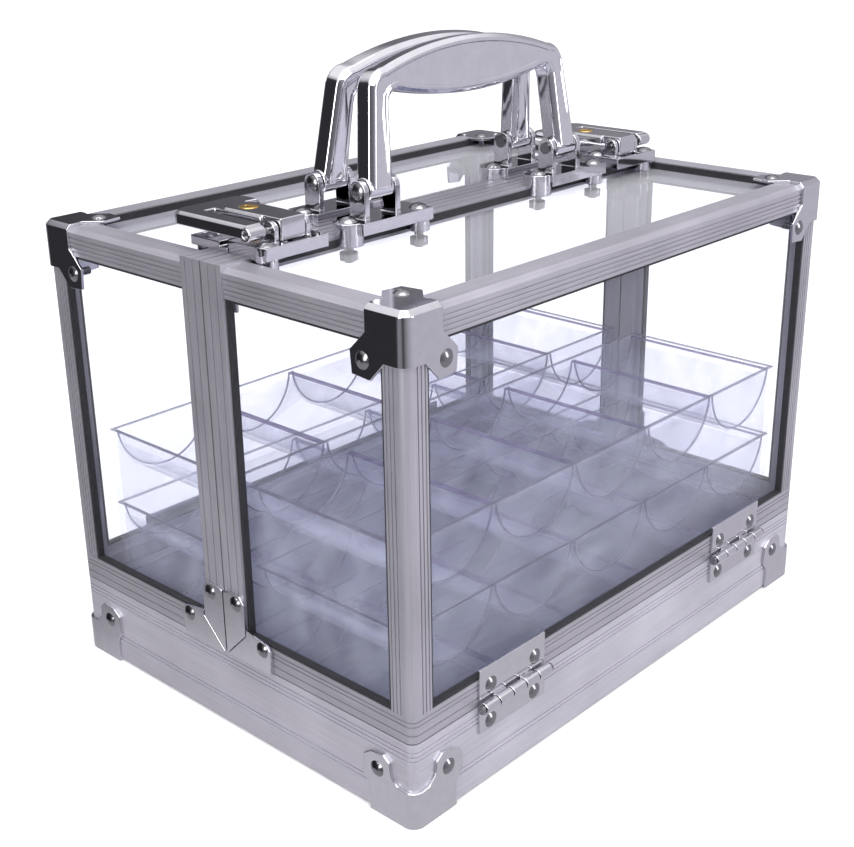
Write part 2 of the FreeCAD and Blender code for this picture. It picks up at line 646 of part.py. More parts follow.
cap_rivets = group(
    "cap_rivets",
    rivet("rivet_cap_end", "left", (f"{LEFT} - cap_sheet", f"{FRONT} + cap_rivet_out", "cap_rivet_up")),
    rivet("rivet_cap_long", "front", (f"{LEFT} + cap_rivet_out", f"{FRONT} - cap_sheet", "cap_rivet_up")))
door_rivets = both_ends("front_rivets", group("front_rivets_left", corner_rivets, tee_rivets, leaf_rivets_up))
front_pieces["rivets"] = door_rivets
tray_rivets_front = both_ends("tray_rivets_front", group("tray_rivets_left", cap_rivets, leaf_rivets_down))
front_pieces["corner_brackets"] = cut("front_corner_brackets", both_ends("corner_fittings", corner_fitting),
                                      door_rivets)

# tee fittings: a stem on the proud post and a foot on the sill, with a mitre line between them
STEM = [("0", "0"), ("-tee_stem", "tee_stem"), ("-tee_stem", "tee_stem_rise - 2.4"),
        ("-tee_stem + 2", "tee_stem_rise"), ("-2.4", "tee_stem_rise"), ("0", "tee_stem_rise - 0.8")]
FOOT = [("-0.4", "0"), ("-tee_foot", "0"), ("-tee_foot - 0.6", "tee_foot_rise - 3.4"),
        ("-tee_foot + 1", "tee_foot_rise - 1.6"), ("-tee_stem - 0.4", "tee_foot_rise"),
        ("-tee_stem - 0.4", "tee_stem")]
tee_stem_plate = plate("tee_stem_plate", "end", STEM, "cap_sheet", (tee_face, SEAM, DOOR))
tee_foot_plate = plate("tee_foot_plate", "end", FOOT, "cap_sheet", (tee_face, SEAM, DOOR))
packer = box("tee_packer", (f"{LEFT} - strip_proud", LEFT), (f"{SEAM} - tee_foot", STRIP_EDGE),
             (DOOR, SILL_TOP))
tee_foot_full = fuse("tee_foot_full", tee_foot_plate, packer)
tees = both_ends("tees", group("tee_left", tee_stem_plate, tee_foot_full))
front_pieces["tee_brackets"] = cut("front_tee_brackets", tees, door_rivets)

# inner straps hold the centre post to the top strip
strap_y = (f"{SEAM} - strip_width/2 - strap_width/2", f"{SEAM} - strip_width/2 + strap_width/2")
strap_under = f"({TOP} - frame_depth)"
strap = fuse(
    "strap",
    box("strap_up", (f"{LEFT} + frame_depth", f"{LEFT} + frame_depth + cap_sheet"), strap_y,
        (f"{strap_under} - strap_leg", strap_under)),
    box("strap_along", (f"{LEFT} + frame_depth", f"{LEFT} + frame_depth + strap_leg"), strap_y,
        (f"{strap_under} - cap_sheet", strap_under)))
front_pieces["inner_straps"] = both_ends("front_inner_straps", strap)

# ---------------------------------------------------------------- door hinges

leaf_x = ("-hinge_centre - hinge_width/2", "-hinge_centre + hinge_width/2")
KNUCKLES = 5
knuckle_length = f"((hinge_width - {KNUCKLES - 1} * knuckle_gap) / {KNUCKLES})"


def knuckle_span(number, play="0"):
    low = f"-hinge_centre - hinge_width/2 + {number} * ({knuckle_length} + knuckle_gap)"
    return (f"{low} - ({play})", f"{low} + {knuckle_length} + ({play})")


def knuckle(number):
    return cylinder(f"knuckle_{number}", "x", (PIVOT_Y, PIVOT_Z), knuckle_span(number), "knuckle_radius")


def knuckle_room(number):
    half = "(knuckle_radius + knuckle_gap)"
    return box(f"knuckle_room_{number}", knuckle_span(number, "knuckle_gap"),
               (f"{PIVOT_Y} - 5", f"{FRONT} + 1"), (f"{PIVOT_Z} - {half}", f"{PIVOT_Z} + {half}"))


rooms = [knuckle_room(number) for number in range(KNUCKLES)]
knuckles = [knuckle(number) for number in range(KNUCKLES)]
pin_bore = cylinder("pin_bore", "x", (PIVOT_Y, PIVOT_Z), (f"{leaf_x[0]} - 3", f"{leaf_x[1]} + 3"),
                    "hinge_pin + running_clearance")
leaf_y = (leaf_face, FRONT)
upper_blank = box("upper_leaf_blank", leaf_x, leaf_y, (DOOR, f"{PIVOT_Z} + hinge_up"))
lower_blank = box("lower_leaf_blank", leaf_x, leaf_y, (f"{PIVOT_Z} - hinge_down", "base_height"))
upper_leaf = cut("upper_leaf", fuse("upper_leaf_full", cut("upper_leaf_notched", upper_blank, *rooms[0::2]),
                                    *knuckles[1::2]), pin_bore)
lower_leaf = cut("lower_leaf", fuse("lower_leaf_full", cut("lower_leaf_notched", lower_blank, *rooms[1::2]),
                                    *knuckles[0::2]), pin_bore)
hinge_pin = fuse(
    "hinge_pin_left",
    cylinder("pin_bar", "x", (PIVOT_Y, PIVOT_Z), (f"{leaf_x[0]} - 0.8", f"{leaf_x[1]} + 0.8"), "hinge_pin"),
    cylinder("pin_end_a", "x", (PIVOT_Y, PIVOT_Z), (f"{leaf_x[0]} - 1.2", f"{leaf_x[0]} - 0.2"), "hinge_pin + 0.5"),
    cylinder("pin_end_b", "x", (PIVOT_Y, PIVOT_Z), (f"{leaf_x[1]} + 0.2", f"{leaf_x[1]} + 1.2"), "hinge_pin + 0.5"))
front_pieces["hinge_leaves"] = cut("front_hinge_leaves", both_ends("upper_leaves", upper_leaf), door_rivets)


def all_four(name, left):
    """The piece at all four places round the case."""
    front = both_ends(name + "_front", left)
    return group(name, front, mirror(name + "_back", front, (0, 1, 0)))


tray_rivets = keep(group("base_rivets", tray_rivets_front, mirror("tray_rivets_back", tray_rivets_front, (0, 1, 0))))
keep(cut("base_corner_caps", group("all_caps", caps_front, mirror("caps_back", caps_front, (0, 1, 0))), tray_rivets))
keep(cut("hinge_lower_leaves", all_four("lower_leaves", lower_leaf), tray_rivets))
keep(all_four("hinge_pins", hinge_pin))
bored_front_tray = cut("base_front_rail_bored", front_tray_rail, tray_rivets)
bored_back_tray = cut("base_back_rail_bored", back_tray_rail, tray_rivets)
bored_end_trays = cut("base_end_rails_bored", kept["base_end_rails"], tray_rivets)

# ---------------------------------------------------------------- handle brackets and handles

PLATE_TOP = f"({STRIP_TOP} + bracket_sheet)"
HANDLE_Y = "-pivot_offset"
HANDLE_Z = f"({TOP} + pivot_rise)"
ear_inner = "(leg_foot/2 + leg_play)"


def handle_bracket(side, centre):
    """Plate on the centre strip, a round lug and a square tail on the sheet, and two ears."""
    lug_x = f"({centre} - lug_reach)"
    tail_x = f"({centre} + tail_reach)"
    parts = [
        box(f"{side}_bracket_plate", (lug_x, f"{centre} + tail_end"), ("-bracket_front", "-bracket_back"),
            (STRIP_TOP, PLATE_TOP)),
        cylinder(f"{side}_lug", "z", (lug_x, HANDLE_Y), (SHEET_TOP, PLATE_TOP), "lug_radius"),
        cylinder(f"{side}_tail", "z", (tail_x, "-bracket_front + boss_radius"), (SHEET_TOP, PLATE_TOP),
                 "boss_radius"),
    ]
    for way, sign in (("near", "-"), ("far", "+")):
        start = f"{centre} {sign} {ear_inner}"
        span = (f"{start} - ear_sheet", start) if sign == "-" else (start, f"{start} + ear_sheet")
        parts.append(box(f"{side}_ear_{way}", span, (f"{HANDLE_Y} - ear_width/2", f"{HANDLE_Y} + ear_width/2"),
                         (STRIP_TOP, HANDLE_Z)))
        parts.append(cylinder(f"{side}_ear_top_{way}", "x", (HANDLE_Y, HANDLE_Z), span, "ear_width/2"))
    bore = cylinder(f"{side}_ear_bore", "x", (HANDLE_Y, HANDLE_Z), (f"{centre} - 20", f"{centre} + 20"),
                    "handle_pin + running_clearance")
    drop = box(f"{side}_strip_room", (f"{centre} - 40", f"{centre} + 40"), (STRIP_EDGE, "5"), ("0", STRIP_TOP))
    casting = cut(f"{side}_bracket", fuse(f"{side}_bracket_full", *parts), bore, drop)
    return casting


def screw(name, x, y, head_on, nut=True, rise="screw_rise"):
    """A pan head screw, down through the sheet to a nut inside the case."""
    low = f"{SHEET_UNDER} - nut_height - 0.8" if nut else f"{head_on} - bracket_sheet - 2"
    parts = [
        dome(name + "_head", "up", (x, y, head_on), "screw_head", rise),
        cylinder(name + "_shank", "z", (x, y), (low, head_on), "screw_shank"),
    ]
    if nut:
        parts.append(cylinder(name + "_nut", "z", (x, y), (f"{SHEET_UNDER} - nut_height", SHEET_UNDER), "nut_radius"))
    return fuse(name, *parts)


LEGS = {"left": "-leg_spacing", "right": "leg_spacing"}
brackets = group("handle_castings", *[handle_bracket(side, centre) for side, centre in LEGS.items()])
bracket_screws = []
for leg_side, leg_x in LEGS.items():
    bracket_screws.append(screw(f"{leg_side}_lug_screw", f"({leg_x} - lug_reach)", HANDLE_Y, PLATE_TOP))
    bracket_screws.append(screw(f"{leg_side}_tail_screw", f"({leg_x} + tail_reach)",
                                "(-bracket_front + boss_radius)", PLATE_TOP))

pin_span = (f"-leg_spacing - {ear_inner} - ear_sheet", f"-leg_spacing + {ear_inner} + ear_sheet")
handle_pin = fuse(
    "handle_pin_left",
    cylinder("handle_pin_bar", "x", (HANDLE_Y, HANDLE_Z), (pin_span[0], f"{pin_span[1]} + 0.6"), "handle_pin"),
    dome("handle_pin_head", "left", (pin_span[0], HANDLE_Y, HANDLE_Z), "handle_pin + 1.1", "0.9"),
    cylinder("handle_pin_tail", "x", (HANDLE_Y, HANDLE_Z), (pin_span[1], f"{pin_span[1]} + 0.6"),
             "handle_pin + 0.6"))
handle_pins = both_ends("handle_pins", handle_pin)

# the handle: a flat outline in its own plane, x along the case and y up from the pivot
values = {alias: sheet.get(alias) for alias in SIZES}


def outline_wire():
    """Outer and inner sides of the bail, each with its arch, as one closed wire."""
    foot_out = values["leg_spacing"] + values["leg_foot"] / 2
    foot_in = values["leg_spacing"] - values["leg_foot"] / 2
    head_out = values["leg_spacing"] - values["leg_splay"] + values["leg_head"] / 2
    head_in = values["leg_spacing"] - values["leg_splay"] - values["leg_head"] / 2
    shoulder = values["handle_shoulder"]
    corner = values["grip_corner"]
    outer_cut = shoulder - corner
    inner_cut = values["handle_round"]

    def at(x, y):
        return FreeCAD.Vector(x, y, 0)

    def rounded(side, x, y, radius, steps):
        """Short chords round a quarter turn whose square corner is at x, y."""
        turns = [math.radians(90 * step / steps) for step in range(steps + 1)]
        return [at(side * (x - radius + radius * math.cos(turn)), y - radius + radius * math.sin(turn))
                for turn in turns]

    edges = []
    for side in (-1, 1):
        outer = [at(side * foot_out, 0)] + rounded(side, head_out, shoulder, outer_cut, 6)
        inner = [at(side * foot_in, 0)] + rounded(side, head_in, corner, inner_cut, 4)
        for chain in (outer, inner, [outer[0], inner[0]]):
            for first, second in zip(chain, chain[1:]):
                edges.append(Part.LineSegment(first, second).toShape())
    arch_end = head_out - outer_cut
    edges.append(Part.Arc(at(-arch_end, shoulder), at(0, values["handle_rise"]), at(arch_end, shoulder)).toShape())
    under_end = head_in - inner_cut
    edges.append(Part.Arc(at(-under_end, corner), at(0, values["grip_under"]), at(under_end, corner)).toShape())
    return Part.Wire(Part.__sortEdges__(edges))


depth = values["handle_depth"]
bail = Part.Face(outline_wire()).extrude(FreeCAD.Vector(0, 0, depth))
bail.translate(FreeCAD.Vector(0, 0, -depth / 2))
soft_edges = [edge for edge in bail.Edges
              if abs(abs(edge.CenterOfMass.z) - depth / 2) < 0.001 and edge.CenterOfMass.y > 0.5]
bail = bail.makeChamfer(values["handle_bevel"], soft_edges)
for side in (-1, 1):
    foot_low = side * values["leg_spacing"] - values["leg_foot"] / 2
    foot = Part.makeCylinder(values["foot_radius"], values["leg_foot"], FreeCAD.Vector(foot_low, 0, 0),
                             FreeCAD.Vector(1, 0, 0))
    bail = bail.fuse(foot)
bore_length = 2 * (values["leg_spacing"] + values["leg_foot"])
bail = bail.cut(Part.makeCylinder(values["handle_pin"] + values["running_clearance"], bore_length,
                                  FreeCAD.Vector(-bore_length / 2, 0, 0), FreeCAD.Vector(1, 0, 0)))
bail_piece = make("Part::Feature", "front_handle")
bail_piece.Shape = bail.removeSplitter()
bail_piece.Placement = FreeCAD.Placement(
    FreeCAD.Vector(0, -values["pivot_offset"], values["case_height"] + values["pivot_rise"]),
    FreeCAD.Rotation(FreeCAD.Vector(1, 0, 0), 90 - values["handle_lean"]))
keep(bail_piece)
keep(mirror("back_handle", bail_piece, (0, 1, 0)))

# ---------------------------------------------------------------- latches

LATCH_X = f"({LEFT} + rail_height + latch_from_rail)"
LATCH_Y = "-latch_pivot_back"
LATCH_Z = f"({PLATE_TOP} + latch_pivot_up)"
block_half = "(latch_block/2)"
swing = "(sqrt(latch_block_half^2 + (latch_pivot_up - 0.1)^2) + latch_play)"
base_x = (f"{LATCH_X} - lever_left + 2.4", f"{LATCH_X} + lever_right - 1.4")
BOSS_Y = "(-bracket_front + boss_radius)"

latch_parts = [
    box("latch_plate", base_x, ("-bracket_front", SEAM), (STRIP_TOP, PLATE_TOP)),
    cylinder("latch_boss", "z", (f"{base_x[0]} + 3", BOSS_Y), (SHEET_TOP, PLATE_TOP), "boss_radius"),
]
for way, sign in (("outer", "-"), ("inner", "+")):
    start = f"{LATCH_X} {sign} ({block_half} + latch_play)"
    span = (f"{start} - latch_ear", start) if sign == "-" else (start, f"{start} + latch_ear")
    latch_parts.append(box(f"latch_ear_{way}", span,
                           (f"{LATCH_Y} - latch_ear_round", f"{LATCH_Y} + latch_ear_round"), (STRIP_TOP, LATCH_Z)))
    latch_parts.append(cylinder(f"latch_ear_top_{way}", "x", (LATCH_Y, LATCH_Z), span, "latch_ear_round"))
latch_pocket = box("latch_pocket", (f"{LATCH_X} - {block_half} - latch_play", f"{LATCH_X} + {block_half} + latch_play"),
                   (f"{LATCH_Y} - {swing}", f"{LATCH_Y} + {swing}"), (f"{LATCH_Z} - {swing}", f"{LATCH_Z} + 20"))
latch_strip_room = box("latch_strip_room", (f"{LATCH_X} - 60", f"{LATCH_X} + 60"), (STRIP_EDGE, "5"),
                       ("0", STRIP_TOP))
latch_bore = cylinder("latch_bore", "x", (LATCH_Y, LATCH_Z), (f"{LATCH_X} - 30", f"{LATCH_X} + 30"),
                      "latch_pin + running_clearance")
latch_base = cut("latch_base", fuse("latch_base_full", *latch_parts), latch_pocket, latch_strip_room, latch_bore)
latch_screws = group(
    "latch_screws",
    screw("latch_screw_sheet", f"({base_x[0]} + 3)", BOSS_Y, PLATE_TOP, rise="low_screw_rise"),
    screw("latch_screw_strip", f"({base_x[1]} - 3.4)", "(-latch_pivot_back + 6)", PLATE_TOP, nut=False))

# lever: outer arm, bow, key plate and block, cut out of one shallow tray
LEVER_TOP = f"({LATCH_Z} + latch_pivot_up - 0.1 - key_pad)"
LEVER_UNDER = f"({LEVER_TOP} - lever_sheet)"
lever_x = (f"{LATCH_X} - lever_left", f"{LATCH_X} + lever_right")
bow_start = "(lever_reach - lever_bow)"
lever_block = rounded_block("lever_blank", lever_x, (LATCH_Y, "lever_reach"),
                            (f"{LEVER_UNDER} - lever_drop", LEVER_TOP), ((-1, 1), (1, 1)), "5", "1.2")
lever_hollow = box("lever_hollow", (f"{lever_x[0]} + lever_rim", f"{lever_x[1]} + 5"),
                   (f"{LATCH_Y} - 5", "lever_reach + 5"), ("0", LEVER_UNDER))
lever_slot = box("lever_slot", (f"{lever_x[0]} + lever_arm", f"{LATCH_X} - key_plate/2"),
                 (f"{LATCH_Y} - 5", bow_start), ("0", f"{LEVER_TOP} + 5"))
lever_side = box("lever_side", (f"{LATCH_X} + key_plate/2", f"{lever_x[1]} + 5"),
                 (f"{LATCH_Y} - 5", bow_start), ("0", f"{LEVER_TOP} + 5"))
neck_room = []
for way, sign in (("outer", "-"), ("inner", "+")):
    start = f"{LATCH_X} {sign} {block_half}"
    span = (f"{start} - 5", start) if sign == "-" else (start, f"{start} + 5")
    neck_room.append(box(f"neck_room_{way}", span, (f"{LATCH_Y} - 5", f"{LATCH_Y} + {swing}"),
                         ("0", f"{LEVER_TOP} + 5")))
PAD = [("-key_plate/2 + 1", "latch_block_half"), ("key_plate/2 - 1", "latch_block_half"),
       ("key_plate/2 - 0.6", "latch_pivot_back + key_seat + 4.6"),
       ("key_plate/2 - 4", "latch_pivot_back + key_seat + 7.6"),
       ("-key_plate/2 + 4", "latch_pivot_back + key_seat + 8.6"),
       ("-key_plate/2 + 0.6", "latch_pivot_back + key_seat + 5")]
lever_pad = plate("lever_pad", "top", PAD, "key_pad", (LATCH_X, LATCH_Y, LEVER_TOP))
lever_pad_trim = cut("lever_pad_trim", lever_pad, *neck_room)
lever_root = box("lever_root", (f"{LATCH_X} - {block_half}", f"{LATCH_X} + {block_half}"),
                 (f"{LATCH_Y} - latch_block_half", f"{LATCH_Y} + latch_block_half"),
                 (f"{PLATE_TOP} + 0.1", f"{LEVER_TOP} + key_pad"))
lever_knuckle = cylinder("lever_knuckle", "x", (LATCH_Y, LATCH_Z), (lever_x[0], f"{lever_x[0]} + lever_arm"),
                         "lever_curl")
lever_full = fuse("lever_full",
                  cut("lever_tray", lever_block, lever_hollow, lever_slot, lever_side, *neck_room),
                  lever_pad_trim, lever_root, lever_knuckle)
key_bore = cylinder("key_bore", "z", (LATCH_X, "key_seat"), ("0", f"{LEVER_TOP} + 5"),
                    "key_radius + running_clearance")
lever_left_piece = keep(cut("left_latch_lever", lever_full, latch_bore, key_bore))
keep(mirror("right_latch_lever", lever_left_piece, (1, 0, 0)))
key_plug = cylinder("key_plug", "z", (LATCH_X, "key_seat"), (f"{LEVER_UNDER} + 0.3", f"{LEVER_TOP} + key_pad + 0.2"),
                    "key_radius")
key_slot = box("key_slot", (f"{LATCH_X} - 0.5", f"{LATCH_X} + 0.5"), ("key_seat - 1.9", "key_seat + 1.9"),
               (f"{LEVER_TOP} - 1", f"{LEVER_TOP} + 5"))
key_left_piece = keep(cut("left_key_plug", key_plug, key_slot))
keep(mirror("right_key_plug", key_left_piece, (1, 0, 0)))

latch_pin = cylinder("latch_pin_bar", "x", (LATCH_Y, LATCH_Z),
                     (f"{lever_x[0]} + 1", f"{LATCH_X} + {block_half} + latch_play + latch_ear + 0.4"), "latch_pin")
front_pieces["pins"] = group("front_pins", handle_pins, both_ends("latch_pins", latch_pin))

# keeper: on the other door, thin at the seam and thicker under the lever
keeper_end = "(bracket_front + 0.4)"
keeper_parts = [
    box("keeper_toe_plate", base_x, ("seam_gap/2 + 0.2", "4.4"), (STRIP_TOP, f"{STRIP_TOP} + keeper_toe")),
    box("keeper_plate", base_x, ("4.2", keeper_end), (STRIP_TOP, f"{STRIP_TOP} + keeper_rise")),
    cylinder("keeper_boss", "z", (f"{base_x[0]} + 3.8", "bracket_front - boss_radius"),
             (SHEET_TOP, f"{STRIP_TOP} + keeper_rise"), "boss_radius"),
]
keeper = fuse("keeper", *keeper_parts)
keeper_screw = screw("keeper_screw", f"({base_x[0]} + 3.8)", "(bracket_front - boss_radius)",
                     f"({STRIP_TOP} + keeper_rise - 1.1)")
keeper_sink = cylinder("keeper_sink", "z", (f"{base_x[0]} + 3.8", "bracket_front - boss_radius"),
                       (f"{STRIP_TOP} + keeper_rise - 1.1", f"{STRIP_TOP} + 20"), "screw_head + 0.1")

# ---------------------------------------------------------------- screws, sheets and the two doors

front_screws = group("front_screws", *bracket_screws, both_ends("latch_screw_pairs", latch_screws))
back_plain_screws = mirror("back_plain_screws", group("plain_screws", *bracket_screws), (0, 1, 0))
back_screws = group("back_screws", back_plain_screws, both_ends("keeper_screws", keeper_screw))

front_pieces["screws"] = front_screws
front_pieces["gaskets"] = cut("front_gaskets", plain_linings, door_rivets, front_screws, brackets,
                              both_ends("latch_bases_in_lining", latch_base))
front_pieces["handle_brackets"] = cut("front_handle_brackets", brackets, front_screws)
front_pieces["side_pane"] = cut("front_side_pane", sheets["side"], door_rivets)
front_pieces["top_pane"] = cut("front_top_pane", sheets["top"], group("top_pane_holes", door_rivets, front_screws))
front_pieces["end_panes"] = cut("front_end_panes", group("end_sheets", sheets["end"], end_sheet_right), door_rivets)
bored = {name: cut(f"front_{name}_bored", front_pieces[name], door_rivets)
         for name in ("sill", "end_sills", "centre_posts")}
bored["centre_strip"] = cut("front_centre_strip_bored", front_pieces["centre_strip"], front_screws)

back_holes = mirror("back_rivet_holes", door_rivets, (0, 1, 0))
SEPARATE = ("screws", "top_pane", "centre_strip", "handle_brackets", "pins", "gaskets")
for name, piece in front_pieces.items():
    final = bored.get(name, piece)
    keep(final)
    if name not in SEPARATE:
        keep(mirror(f"back_{name}", final, (0, 1, 0)))
keep(cut("front_latch_bases", both_ends("latch_bases", latch_base), front_screws))
keep(back_screws)
keep(mirror("back_pins", handle_pins, (0, 1, 0)))
back_brackets = mirror("back_castings", brackets, (0, 1, 0))
keep(cut("back_handle_brackets", back_brackets, back_screws))
back_sheet = mirror("back_top_sheet", sheets["top"], (0, 1, 0))
keep(cut("back_top_pane", back_sheet, group("back_top_holes", back_holes, back_screws)))
back_linings = mirror("back_linings", plain_linings, (0, 1, 0))
keep(cut("back_gaskets", back_linings, back_holes, back_screws, back_brackets,
         both_ends("keepers_in_lining", keeper)))
back_strip = mirror("back_strip_plain", front_pieces["centre_strip"], (0, 1, 0))
keep(cut("back_centre_strip", back_strip, back_screws))
keep(cut("back_latch_keepers", both_ends("keepers", keeper), back_screws, both_ends("keeper_sinks", keeper_sink)))

# bored pieces stand in for the plain ones
for plain, piece in (("base_front_rail", bored_front_tray), ("base_back_rail", bored_back_tray),
                     ("base_end_rails", bored_end_trays)):
    kept[plain] = piece
for name, piece in bored.items():
    kept.pop(piece.Label, None)
    kept[f"front_{name}"] = piece

# ---------------------------------------------------------------- racks

rack_half = f"({TROUGHS} * trough_pitch + trough_pitch - 2 * trough_radius) / 2"
trough_centre_z = "(trough_floor + rack_wall + trough_radius)"
mouth_z = f"min({trough_centre_z}; rack_height)"
hollow_z = f"min({trough_centre_z}; rack_height - ridge_drop - rack_wall)"


def rack(name, y_low, z_low):
    """An open moulding: outer walls, round troughs side by side, hollow underneath."""
    y_high = f"({y_low} + rack_width)"
    inner_y = (f"{y_low} + rack_wall", f"{y_high} - rack_wall")
    outer = box(f"{name}_outer", (f"-{rack_half}", rack_half), (y_low, y_high), (z_low, f"{z_low} + rack_height"))
    above = []
    fat = []
    for number in range(TROUGHS):
        centre = f"({number} - ({TROUGHS} - 1)/2) * trough_pitch"
        height = f"{z_low} + {trough_centre_z}"
        above.append(fuse(
            f"{name}_trough_{number}",
            cylinder(f"{name}_round_{number}", "y", (centre, height), inner_y, "trough_radius"),
            box(f"{name}_mouth_{number}", (f"{centre} - trough_radius", f"{centre} + trough_radius"), inner_y,
                (f"{z_low} + {mouth_z}", f"{z_low} + rack_height + 1"))))
        fat.append(cylinder(f"{name}_shell_{number}", "y", (centre, height),
                            (f"{y_low} - 1", f"{y_high} + 1"), "trough_radius + rack_wall"))
    ridge_cut = box(f"{name}_ridge_cut", (f"-{rack_half} + rack_wall", f"{rack_half} - rack_wall"), inner_y,
                    (f"{z_low} + rack_height - ridge_drop", f"{z_low} + rack_height + 1"))
    under = box(f"{name}_under", (f"-{rack_half} + rack_wall", f"{rack_half} - rack_wall"), inner_y,
                (f"{z_low} - 1", f"{z_low} + {hollow_z}"))
    hollow = cut(f"{name}_hollow", under, *fat)
    scooped = cut(f"{name}_scooped", outer, *above)
    opened = cut(f"{name}_opened", scooped, hollow)
    return keep(cut(name, opened, ridge_cut))


STACKS = {"front": "-stack_gap/2 - stack_shift - rack_width", "back": "stack_gap/2 - stack_shift"}
for stack, stack_y in STACKS.items():
    for layer, layer_name in enumerate(LAYERS):
        rack(f"{stack}_{layer_name}_rack", stack_y,
             f"(floor_top + rack_gap + {layer} * (rack_height + rack_gap))")

# ---------------------------------------------------------------- check and write

doc.recompute()
faults = [item.Label for item in doc.Objects if "Invalid" in item.State or "Error" in item.State]
for name, piece in kept.items():
    if piece.Shape.isNull() or not piece.Shape.isValid() or not piece.Shape.Solids:
        faults.append(name)
if faults:
    raise SystemExit("faulty pieces: " + ", ".join(faults))

os.makedirs("parts", exist_ok=True)
for name, piece in sorted(kept.items()):
    piece.Label = name
    piece.Shape.exportStep(f"parts/{name}.step")
    box_of = piece.Shape.BoundBox
    print(f"{name}: {len(piece.Shape.Solids)} solids, {piece.Shape.Volume:.0f} mm3, "
          f"z {box_of.ZMin:.2f} to {box_of.ZMax:.2f}")
print(len(kept), "pieces")
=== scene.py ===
import json
import math

import bmesh
import bpy
from mathutils import Matrix, Vector


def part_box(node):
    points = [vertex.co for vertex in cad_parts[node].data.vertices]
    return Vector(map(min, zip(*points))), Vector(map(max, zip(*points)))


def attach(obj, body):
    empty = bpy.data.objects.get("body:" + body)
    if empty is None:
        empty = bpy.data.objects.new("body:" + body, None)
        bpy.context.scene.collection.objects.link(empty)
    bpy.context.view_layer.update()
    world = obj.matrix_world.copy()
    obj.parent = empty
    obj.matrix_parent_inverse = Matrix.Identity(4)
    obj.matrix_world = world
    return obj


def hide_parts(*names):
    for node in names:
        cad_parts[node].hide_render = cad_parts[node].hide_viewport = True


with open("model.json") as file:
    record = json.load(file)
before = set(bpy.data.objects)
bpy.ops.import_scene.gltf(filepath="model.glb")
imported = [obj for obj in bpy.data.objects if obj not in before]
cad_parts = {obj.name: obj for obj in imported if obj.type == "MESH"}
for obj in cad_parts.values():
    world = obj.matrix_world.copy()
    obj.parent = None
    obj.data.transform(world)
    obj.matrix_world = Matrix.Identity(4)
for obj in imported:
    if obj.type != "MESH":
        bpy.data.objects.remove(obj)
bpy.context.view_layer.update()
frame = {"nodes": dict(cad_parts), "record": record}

MM = 0.001

# ---- Extruded frame -------------------------------------------------------------------------
# Satin anodised aluminium extrusions, sawn and mitred, with fine lines left along their length
# by the die. Each runs along one axis, and its grain runs with it.


class Tone:
    """One output of a finish's node tree, with the usual signs of arithmetic."""

    def __init__(self, finish, socket):
        self.finish = finish
        self.socket = socket

    def _math(self, operation, first, second):
        return self.finish.node("ShaderNodeMath", {"operation": operation}, {0: first, 1: second})

    def __add__(self, other):
        return self._math("ADD", self, other)

    def __radd__(self, other):
        return self._math("ADD", other, self)

    def __sub__(self, other):
        return self._math("SUBTRACT", self, other)

    def __rsub__(self, other):
        return self._math("SUBTRACT", other, self)

    def __mul__(self, other):
        return self._math("MULTIPLY", self, other)

    def __rmul__(self, other):
        return self._math("MULTIPLY", other, self)

    def __pow__(self, other):
        return self._math("POWER", self, other)


class Finish:
    """A procedural material. node() adds any node by its type, its settings and its inputs."""

    def __init__(self, name, holders=bpy.data.materials, end="ShaderNodeOutputMaterial"):
        self.material = holders.new(name)
        self.material.use_nodes = True
        self.tree = self.material.node_tree
        self.tree.nodes.clear()
        self.end = self.tree.nodes.new(end)

    def node(self, kind, settings=None, inputs=None, output=0):
        made = self.tree.nodes.new(kind)
        for key, value in (settings or {}).items():
            if key == "stops":
                ramp = made.color_ramp
                while len(ramp.elements) < len(value):
                    ramp.elements.new(0.5)
                for element, (place, color) in zip(ramp.elements, value):
                    element.position = place
                    element.color = color
            else:
                setattr(made, key, value)
        for key, value in (inputs or {}).items():
            if isinstance(value, Tone):
                self.tree.links.new(value.socket, made.inputs[key])
            else:
                made.inputs[key].default_value = value
        return Tone(self, made.outputs[output])

    def place(self, scale=(1, 1, 1)):
        """Object coordinates in millimetres, stretched by a scale along each axis."""
        spot = self.node("ShaderNodeTexCoord", output="Object")
        return self.node("ShaderNodeMapping", None,
                         {"Vector": spot, "Scale": [value / MM for value in scale]})

    def noise(self, where, scale, detail=3.0, rough=0.55):
        return self.node("ShaderNodeTexNoise", None,
                         {"Vector": where, "Scale": scale, "Detail": detail, "Roughness": rough})

    def ramp(self, factor, stops):
        return self.node("ShaderNodeValToRGB", {"stops": stops}, {"Fac": factor})

    def blend(self, factor, first, second):
        """Mixes two colours."""
        return self.node("ShaderNodeMix", {"data_type": "RGBA"}, {0: factor, 6: first, 7: second}, output=2)

    def bump(self, height, depth, strength=1.0):
        return self.node("ShaderNodeBump", None, {"Height": height, "Distance": depth, "Strength": strength})

    def finish(self, shader):
        self.tree.links.new(shader.socket, self.end.inputs["Surface"])
        return self.material


def grey(level, violet=0.0):
    """A neutral colour with a little violet in it."""
    return (level, level * (1 - 0.02 * violet), level * (1 + 0.06 * violet), 1)


def extruded(name, stretch, painted_light_lift=1.0):
    """Satin aluminium whose grain is drawn out along one axis; a lift above 1 makes it paler, which is
    painted light.
    """
    metal = Finish(name)
    streaks = metal.noise(metal.place(stretch), 1.6, 4)
    clouds = metal.noise(metal.place(), 0.035, 2)
    film = streaks * 0.6 + clouds * 0.4
    color = metal.ramp(film, [(0.32, grey(0.36 * painted_light_lift, 1.3)), (0.52, grey(0.44 * painted_light_lift, 1.3)),
                              (0.7, grey(0.52 * painted_light_lift, 1.1))])
    soft = 0.34 + film * 0.22
    surface = metal.bump(streaks, 0.00004, 0.35)
    return metal.finish(metal.node("ShaderNodeBsdfPrincipled", None, {
        "Base Color": color, "Metallic": 0.7, "Roughness": soft, "Normal": surface}))


